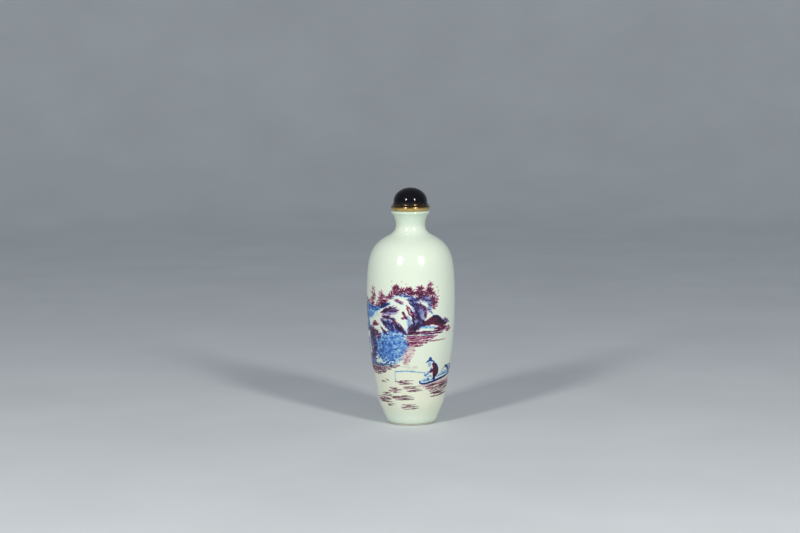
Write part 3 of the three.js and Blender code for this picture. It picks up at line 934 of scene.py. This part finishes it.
def band_faces(splits):
    """Quads, and fans round the middle of a cell whose neighbour is finer, as node numbers."""
    quads, fans = [], []
    exists = np.ones((BASE_ROWS, BASE_COLUMNS), bool)
    for level in range(LEVELS + 1):
        size = 2 ** (LEVELS - level)
        split = splits[level] if level < LEVELS else np.zeros_like(exists)
        leaf = exists & ~split
        finer = [beside(split, *way) for way in NEIGHBOURS]
        mixed = leaf & np.any(finer, axis=0)
        quads.append(np.stack(cell_ring(*np.nonzero(leaf & ~mixed), size), -1))
        row, column = np.nonzero(mixed)
        fans.extend(fan(cell_ring(row, column, size), size, [side[row, column] for side in finer]))
        if level < LEVELS:
            exists = np.repeat(np.repeat(split, 2, axis=0), 2, axis=1)
    return np.concatenate(quads, axis=1), np.concatenate(fans, axis=1)


def side_normals(height):
    """Outward (radial, upright) normals of the bottle's side at those heights."""
    lean = np.gradient(OUTER[:, 0], OUTER[:, 1] + 1e-9 * np.arange(len(OUTER)))
    slope = np.interp(height, OUTER[:, 1], lean)
    return np.column_stack([np.ones_like(slope), -slope]) / np.hypot(1, slope)[:, None]


def add_band(surface):
    """Adds the painted band in its split cells; returns its lowest and highest rings."""
    sheets = np.stack([folded(sheet) for sheet in (COBALT, COPPER, UMBER)], -1)
    field = np.concatenate([sheets, sheets[:, :1]], axis=1)
    kinds = band_faces(cells_to_split(field))
    numbers = [rows * FINE_TURN + columns % FINE_TURN for rows, columns in kinds]
    used = np.unique(np.concatenate([number.ravel() for number in numbers]))
    row, column = used // FINE_TURN, used % FINE_TURN
    height = PAINT_LOW + (PAINT_HIGH - PAINT_LOW) * row / FINE_RISE
    place = np.full(FINE_TURN * (FINE_RISE + 1), -1)
    place[used] = surface.add_points(radius_at(height), height, side_normals(height), column,
                                     sheets[row, column])
    low_v, high_v = MAP_BAND
    for (rows, columns), number in zip(kinds, numbers):
        surface.add_faces(place[number], columns, low_v + (high_v - low_v) * rows / FINE_RISE)
    coarse = surface.left * surface.step
    return place[coarse], place[FINE_TURN * FINE_RISE + coarse]


def painted_bottle(material):
    """The bottle: base and foot, the painted band in fine cells, and everything above it."""
    surface = Surface(BASE_COLUMNS, FINE_TURN)
    band_low, band_high = add_band(surface)
    foot, crown = foot_outline(), crown_outline()
    lower = np.vstack([foot, [(radius_at(z), z) for z in (PAINT_LOW, PAINT_HIGH)]])
    upper = np.vstack([lower[-1:], crown])

    map_v = map_heights(lower[:-1], MAP_FOOT, MAP_BAND[0])
    first, last = surface.rings(foot, outline_normals(lower)[:-2], map_v)
    surface.cap(first, RECESS, -1, map_v[0], MAP_FOOT - MAP_POLE)
    surface.join(last, band_low, *map_v[-2:])

    map_v = map_heights(upper, MAP_BAND[1], MAP_CROWN)
    first, last = surface.rings(crown, outline_normals(upper)[1:], map_v[1:])
    surface.join(band_high, first, *map_v[:2])
    surface.cap(last, FLOOR, 1, map_v[-1], MAP_CROWN + MAP_POLE)
    return surface.finished("bottle", material, ("cobalt", "copper", "umber"))


# Materials --------------------------------------------------------------------------
# Colours are sRGB, from 0 to 255. Heights and sizes are in design millimetres.

GLAZE_COOL, GLAZE_WARM = (228, 240, 224), (232, 242, 220)
GLAZE_CREAM, GLAZE_POOLED = (234, 234, 208), (200, 220, 200)
BISCUIT_DARK, BISCUIT_LIGHT = (214, 210, 194), (232, 228, 212)
SPECK, SEAM = (120, 104, 84), (134, 120, 104)
# The collar's brown is a painted dark reflection on its upper face, and it also darkens the crease just
# above the lip.
GOLD_DEEP, GOLD_PALE, REFLECTION_AND_CREASE_BROWN = (214, 172, 92), (236, 204, 132), (58, 34, 24)
STONE_BLACK, STONE_DARK, STONE_CLOUD = (5, 3, 7), (12, 7, 16), (30, 17, 36)
BARK_DARK, BARK_LIGHT, PORE = (150, 108, 66), (196, 154, 104), (84, 54, 34)
PAPER_DARK, PAPER_LIGHT = (216, 219, 222), (222, 225, 228)


def shown(colour):
    """An sRGB colour from 0 to 255 as the linear colour that nodes take."""
    shares = [c / 255 for c in colour]
    linear = [c / 12.92 if c <= 0.04045 else ((c + 0.055) / 1.055) ** 2.4 for c in shares]
    return (*linear, 1.0)


class Shader:
    """A Principled material and short ways to add nodes to it."""

    def __init__(self, name, **numbers):
        self.material = bpy.data.materials.new(name)
        self.material.use_nodes = True
        self.tree = self.material.node_tree
        self.tree.nodes.clear()
        self.surface = self.add("ShaderNodeBsdfPrincipled")
        output = self.add("ShaderNodeOutputMaterial")
        self.put(self.surface.outputs["BSDF"], output.inputs["Surface"])
        for socket, number in numbers.items():
            self.feed(socket.replace("_", " "), number)
        place = self.add("ShaderNodeTexCoord").outputs["Object"]
        self.place = self.stretched(place, [1 / UNIT] * 3)
        split = self.add("ShaderNodeSeparateXYZ")
        self.put(self.place, split.inputs[0])
        self.height = split.outputs["Z"]

    def add(self, kind, **settings):
        node = self.tree.nodes.new(kind)
        for name, value in settings.items():
            setattr(node, name, value)
        return node

    def put(self, value, socket):
        """Links a socket, or sets a plain number or a colour."""
        if isinstance(value, bpy.types.NodeSocket):
            self.tree.links.new(value, socket)
        else:
            socket.default_value = shown(value) if isinstance(value, tuple) else value

    def feed(self, name, value):
        self.put(value, self.surface.inputs[name])

    def stretched(self, place, factors):
        node = self.add("ShaderNodeVectorMath", operation="MULTIPLY")
        self.put(place, node.inputs[0])
        node.inputs[1].default_value = factors
        return node.outputs[0]

    def noise(self, size, detail=3.0, stretch=(1, 1, 1)):
        """Noise from 0 to 1 whose lumps are about size millimetres."""
        node = self.add("ShaderNodeTexNoise")
        node.inputs["Scale"].default_value = 1 / size
        node.inputs["Detail"].default_value = detail
        self.put(self.stretched(self.place, stretch), node.inputs["Vector"])
        return node.outputs["Fac"]

    def cells(self, size, stretch=(1, 1, 1)):
        """Distance to scattered points about size millimetres apart, and their colours."""
        node = self.add("ShaderNodeTexVoronoi")
        node.inputs["Scale"].default_value = 1 / size
        self.put(self.stretched(self.place, stretch), node.inputs["Vector"])
        return node.outputs["Distance"], node.outputs["Color"]

    def maths(self, operation, *terms):
        node = self.add("ShaderNodeMath", operation=operation)
        for term, socket in zip(terms, node.inputs):
            self.put(term, socket)
        return node.outputs[0]

    def times(self, first, second):
        return self.maths("MULTIPLY", first, second)

    def span(self, value, low, high, from_value=0.0, to_value=1.0):
        """A smooth step: from_value at low and to_value at high."""
        node = self.add("ShaderNodeMapRange", interpolation_type="SMOOTHSTEP")
        for term, socket in zip((value, low, high, from_value, to_value), node.inputs):
            self.put(term, socket)
        return node.outputs["Result"]

    def mix(self, factor, first, second, blend="MIX"):
        node = self.add("ShaderNodeMix", data_type="RGBA", blend_type=blend)
        self.put(factor, node.inputs["Factor"])
        colours = [socket for socket in node.inputs if socket.type == "RGBA"]
        self.put(first, colours[0])
        self.put(second, colours[1])
        return next(socket for socket in node.outputs if socket.type == "RGBA")

    def ramp(self, value, stops):
        """A colour ramp; its stops are (place, colour)."""
        node = self.add("ShaderNodeValToRGB")
        elements = node.color_ramp.elements
        while len(elements) < len(stops):
            elements.new(0.5)
        for element, (place, colour) in zip(elements, stops):
            element.position = place
            element.color = shown(colour)
        self.put(value, node.inputs["Fac"])
        return node.outputs["Color"]

    def attribute(self, name):
        return self.add("ShaderNodeAttribute", attribute_name=name).outputs["Fac"]

    def bump(self, height, depth, after=None):
        """Bump of that depth in millimetres, on top of another if given."""
        node = self.add("ShaderNodeBump")
        node.inputs["Distance"].default_value = depth * UNIT
        self.put(height, node.inputs["Height"])
        if after is not None:
            self.put(after, node.inputs["Normal"])
        return node.outputs["Normal"]


def glaze_tone(s):
    """Clear greenish glaze, creamier low down, and greener on the lip and above the foot."""
    tone = s.ramp(s.noise(9.0, 2.0), [(0.3, GLAZE_COOL), (0.7, GLAZE_WARM)])
    creamy = s.times(s.span(s.height, 32.0, 14.0, 0.0, 0.65), s.span(s.height, 2.0, 9.0))
    pooled = s.maths("MAXIMUM", s.span(s.height, 70.5, 72.5), s.span(s.height, 3.2, 0.8))
    return s.mix(s.times(pooled, 0.55), s.mix(creamy, tone, GLAZE_CREAM), GLAZE_POOLED)


def painted(s, tone):
    """The three pigments under the glaze, a little patchy."""
    patchy = s.maths("MULTIPLY_ADD", s.noise(0.55), 0.5, 0.75)
    for name, stops in (("cobalt", BLUE), ("copper", RED), ("umber", BROWN)):
        pigment = s.ramp(s.times(s.attribute(name), patchy), stops)
        tone = s.mix(1.0, tone, pigment, "MULTIPLY")
    return tone


def specked(s, tone):
    """A few small brown specks in the glaze."""
    distance, colour = s.cells(1.5)
    speck = s.times(s.span(distance, 0.055, 0.035), s.maths("GREATER_THAN", colour, 0.93))
    return s.mix(s.times(speck, 0.45), tone, SPECK)


def porcelain():
    """Glazed, painted porcelain, bare on the foot rim, with a brown seam above that."""
    s = Shader("porcelain", IOR=1.5)
    ragged = s.maths("MULTIPLY_ADD", s.noise(1.6), 0.16, s.height)
    bare = s.span(ragged, GLAZE_END + 0.12, GLAZE_END + 0.06)
    biscuit = s.ramp(s.noise(0.35, 4.0), [(0.3, BISCUIT_DARK), (0.75, BISCUIT_LIGHT)])
    seam = s.times(s.span(ragged, GLAZE_END - 0.06, GLAZE_END + 0.06),
                   s.span(ragged, GLAZE_END + 0.42, GLAZE_END + 0.1))
    tone = s.mix(bare, specked(s, painted(s, glaze_tone(s))), biscuit)
    s.feed("Base Color", s.mix(s.times(seam, 0.6), tone, SEAM))
    gloss = s.span(s.noise(2.4), 0.2, 0.8, 0.12, 0.18)
    s.feed("Roughness", s.maths("ADD", gloss, s.times(bare, 0.7)))
    waves = s.bump(s.noise(7.0, 1.0), 0.10)
    peel = s.bump(s.noise(1.3, 1.0), 0.006, waves)
    s.feed("Normal", s.bump(s.times(s.noise(0.16), bare), 0.05, peel))
    return s.material


def gilt():
    """Gilding: bright on the bead, with a painted dark reflection browning its upper face and bezel, and
    darker in the crease just above the lip.
    """
    s = Shader("gilt_metal", Metallic=1.0, Coat_Weight=0.5, Coat_Roughness=0.09)
    tone = s.ramp(s.noise(1.6, 4.0), [(0.3, GOLD_DEEP), (0.7, GOLD_PALE)])
    # Painted reflection: the bead's upper half and the bezel are browned as if they mirrored dark
    # surroundings.
    upper = s.times(s.span(s.height, LIP_TOP + 0.95, LIP_TOP + 1.55), 0.97)
    # The crease just above the lip is made darker too; noise makes both uneven.
    crease = s.times(s.span(s.height, LIP_TOP + 0.35, LIP_TOP), 0.6)
    unevenness = s.span(s.noise(0.7, 4.0), 0.25, 0.75, 0.8, 1.0)
    dark_reflection_and_crease = s.times(s.maths("MAXIMUM", upper, crease), unevenness)
    s.feed("Base Color", s.mix(dark_reflection_and_crease, tone, REFLECTION_AND_CREASE_BROWN))
    gloss = s.span(s.noise(0.5, 4.0), 0.3, 0.8, 0.11, 0.24)
    s.feed("Roughness", s.maths("ADD", gloss, s.times(dark_reflection_and_crease, 0.1)))
    lines = s.bump(s.noise(0.10, 2.0, (0.02, 0.02, 1.0)), 0.008)
    s.feed("Normal", s.bump(s.noise(0.9, 2.0), 0.02, lines))
    return s.material


def dark_stone():
    """Polished, nearly black stone with purple clouds deep in it."""
    s = Shader("dark_stone", IOR=1.52, Specular_IOR_Level=0.3)
    cloud = [(0.35, STONE_BLACK), (0.62, STONE_DARK), (0.8, STONE_CLOUD)]
    s.feed("Base Color", s.ramp(s.noise(4.5, 4.0), cloud))
    s.feed("Roughness", s.span(s.noise(1.8), 0.3, 0.8, 0.035, 0.08))
    s.feed("Normal", s.bump(s.noise(2.5, 1.0), 0.01))
    return s.material


def cork_bark():
    """Cut cork: warm tan grain with dark pores."""
    s = Shader("cork", IOR=1.45)
    tone = s.ramp(s.noise(0.9, 5.0), [(0.3, BARK_DARK), (0.7, BARK_LIGHT)])
    distance, colour = s.cells(0.9, (1.0, 1.0, 0.45))
    pore = s.times(s.span(distance, 0.34, 0.2), s.maths("GREATER_THAN", colour, 0.55))
    s.feed("Base Color", s.mix(pore, tone, PORE))
    s.feed("Roughness", s.span(s.noise(0.6), 0.2, 0.8, 0.8, 0.95))
    s.feed("Normal", s.bump(s.maths("SUBTRACT", s.noise(0.4, 4.0), pore), 0.12))
    return s.material


def studio_paper():
    """The pale floor and the sweep behind it."""
    s = Shader("studio_paper")
    s.feed("Base Color", s.ramp(s.noise(60.0, 2.0), [(0.3, PAPER_DARK), (0.7, PAPER_LIGHT)]))
    s.feed("Roughness", s.span(s.noise(3.0), 0.2, 0.8, 0.86, 0.95))
    s.feed("Normal", s.bump(s.noise(0.8), 0.003))
    return s.material


# Stopper ----------------------------------------------------------------------------

LIP_TOP = design(collar_low.z)
COLLAR_RADIUS, COLLAR_TOP = design(collar_high.x), design(collar_high.z)
BEAD_RISE = 1.1                 # widest place of the bead, above the lip
BEZEL_RADIUS = 6.45
STONE_SEAT, STONE_TOP = design(stone_low.z), design(stone_high.z)
STONE_RADIUS, STONE_BASE = design(stone_high.x), 5.8
STONE_RISE = 1.3                # widest place of the stone, above its seat
SEAT_GAP = 0.08                 # round the stone, inside the bezel
CORK_END, CORK_RADIUS = design(cork_low.z), design(cork_high.x)
CORK_TAPER, CORK_CHAMFER = 0.25, 0.5


def collar_outline():
    """A rounded bead on the lip, and a thin bezel standing up round the stone's seat."""
    seat = STONE_RADIUS + SEAT_GAP
    start, bead = (LIP_FLAT_RADIUS, LIP_TOP), (COLLAR_RADIUS, LIP_TOP + BEAD_RISE)
    shoulder = (BEZEL_RADIUS, STONE_SEAT)
    rim = [shoulder, (BEZEL_RADIUS, COLLAR_TOP), (seat, COLLAR_TOP), (seat, STONE_SEAT),
           (3.0, STONE_SEAT)]
    return np.vstack([
        [(radius, LIP_TOP) for radius in (0, 3.0, 6.1)],
        [start],
        quarter(start, bead, 10, level=True),
        quarter(bead, shoulder, 10),
        rounded(rim, 0.11, 4)[1:-1],
        [(3.0, STONE_SEAT), (0, STONE_SEAT)],
    ])


def stone_outline():
    """A dome, drawn in a little at its foot."""
    base, widest = (STONE_BASE, STONE_SEAT), (STONE_RADIUS, STONE_SEAT + STONE_RISE)
    under = [(radius, STONE_SEAT) for radius in (0, 3.0, STONE_BASE - 0.2)]
    foot, dome = quarter(base, widest, 6, level=True), quarter(widest, (0, STONE_TOP), 26)
    return np.vstack([under, [base], foot, dome])


def cork_outline():
    """A plug with a chamfered lower end."""
    end = CORK_RADIUS - CORK_TAPER
    corners = [(0, CORK_END), (end - CORK_CHAMFER, CORK_END), (end, CORK_END + CORK_CHAMFER),
               (CORK_RADIUS, LIP_TOP), (0, LIP_TOP)]
    side = rounded(corners, 0.15)
    return np.vstack([side[:-2], respaced(side[-2:], 0.8)])


def roughened(piece, depth, size):
    """Moves the side of a piece inward a little, unevenly, as cut cork is."""
    for vertex in piece.data.vertices:
        x, y, z = (c / UNIT / size for c in vertex.co)
        dent = 0.5 + 0.5 * math.sin(2.1 * x + 1.3 * z) * math.sin(1.7 * y - 2.3 * z + 0.6)
        radius = math.hypot(vertex.co.x, vertex.co.y)
        if radius > 1e-6:
            shrink = 1 - dent * depth * UNIT / radius * min(1.0, radius / (2 * UNIT))
            vertex.co.x *= shrink
            vertex.co.y *= shrink


# Stage, light and camera -------------------------------------------------------------

STAGE_REACH, STAGE_WALL = 1150, 550
STAGE_BEND = 450                # radius of the sweep between floor and wall
STAGE_SIDES = 96
LIGHT_AZIMUTH, LIGHT_ELEVATION = 31, 27
LIGHT_DISTANCE, LIGHT_WIDTH, LIGHT_HEIGHT = 750, 85, 200
LIGHT_WATTS, LIGHT_COLOUR = 2.35, (1.0, 0.99, 0.96)
WORLD_STRENGTH, WORLD_COLOUR = 0.27, (0.80, 0.90, 1.0, 1.0)
CAMERA_PLACE = (-3.85, -759.0, 143.0)
CAMERA_TILT, CAMERA_ROLL = 6.5, -0.35
SENSOR_WIDTH, LENS = 36.0, 95.7


def studio_floor(material):
    """A round pale floor that sweeps up to a low wall; its outline runs from the wall inward."""
    top = [(STAGE_REACH, STAGE_WALL), (STAGE_REACH, STAGE_BEND)]
    sweep = quarter(top[-1], (STAGE_REACH - STAGE_BEND, 0), 16)
    outline = np.vstack([top, sweep, [(share * STAGE_REACH, 0) for share in (0.3, 0.02)]])
    surface = Surface(STAGE_SIDES, STAGE_SIDES)
    map_v = map_heights(outline, 0.0, 0.98)
    inmost = surface.rings(outline, outline_normals(outline), map_v)[1]
    surface.cap(inmost, 0, 1, map_v[-1], 1.0)
    surface.finished("studio_floor", material)


def softbox(name, azimuth):
    """A rectangular soft light that faces the middle of the bottle."""
    light = bpy.data.lights.new(name, "AREA")
    light.shape = "RECTANGLE"
    light.size, light.size_y = LIGHT_WIDTH * UNIT, LIGHT_HEIGHT * UNIT
    light.energy, light.color = LIGHT_WATTS, LIGHT_COLOUR
    lamp = bpy.data.objects.new(name, light)
    side, front = math.sin(math.radians(azimuth)), -math.cos(math.radians(azimuth))
    level, rise = toward(LIGHT_ELEVATION)
    back = Vector((side * level, front * level, rise))
    lamp.location = (cad_low + cad_high) / 2 + back * LIGHT_DISTANCE * UNIT
    lamp.rotation_mode = "QUATERNION"
    lamp.rotation_quaternion = back.to_track_quat("Z", "Y")
    bpy.context.scene.collection.objects.link(lamp)


def studio_light():
    """Two soft frontal lights and a dim, pale surround."""
    softbox("softbox_left", -LIGHT_AZIMUTH)
    softbox("softbox_right", LIGHT_AZIMUTH)
    world = bpy.data.worlds.new("studio_world")
    bpy.context.scene.world = world
    world.use_nodes = True
    shade = world.node_tree.nodes["Background"]
    shade.inputs["Color"].default_value = WORLD_COLOUR
    shade.inputs["Strength"].default_value = WORLD_STRENGTH


def camera():
    """The photograph's view: a long lens, a little above the bottle and to its left."""
    data = bpy.data.cameras.new("camera")
    data.sensor_width = SENSOR_WIDTH
    data.lens = LENS
    data.clip_start, data.clip_end = 0.02, 20
    made = bpy.data.objects.new("camera", data)
    pitch = Matrix.Rotation(math.radians(90 - CAMERA_TILT), 4, "X")
    roll = Matrix.Rotation(math.radians(CAMERA_ROLL), 4, "Z")
    made.matrix_world = Matrix.Translation(Vector(CAMERA_PLACE) * UNIT) @ pitch @ roll
    bpy.context.scene.collection.objects.link(made)
    bpy.context.scene.camera = made


def make_pieces():
    """Makes the four pieces, each in place of its CAD node."""
    paint_scene()
    bottle = painted_bottle(porcelain())
    collar = turned_piece("gilt_collar", collar_outline(), 128, gilt())
    stone = turned_piece("domed_stone", stone_outline(), 128, dark_stone())
    cork = turned_piece("cork_plug", cork_outline(), 72, cork_bark())
    roughened(cork, 0.08, 0.8)
    for piece, node, slot in (
        (bottle, "bottle_body", "porcelain"),
        (collar, "stopper_collar", "gilt_metal"),
        (stone, "stopper_cabochon", "dark_stone"),
        (cork, "stopper_cork", "cork"),
    ):
        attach(piece, "root")
        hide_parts(node)


make_pieces()
studio_floor(studio_paper())
studio_light()
camera()
bpy.context.scene.view_settings.view_transform = "Standard"
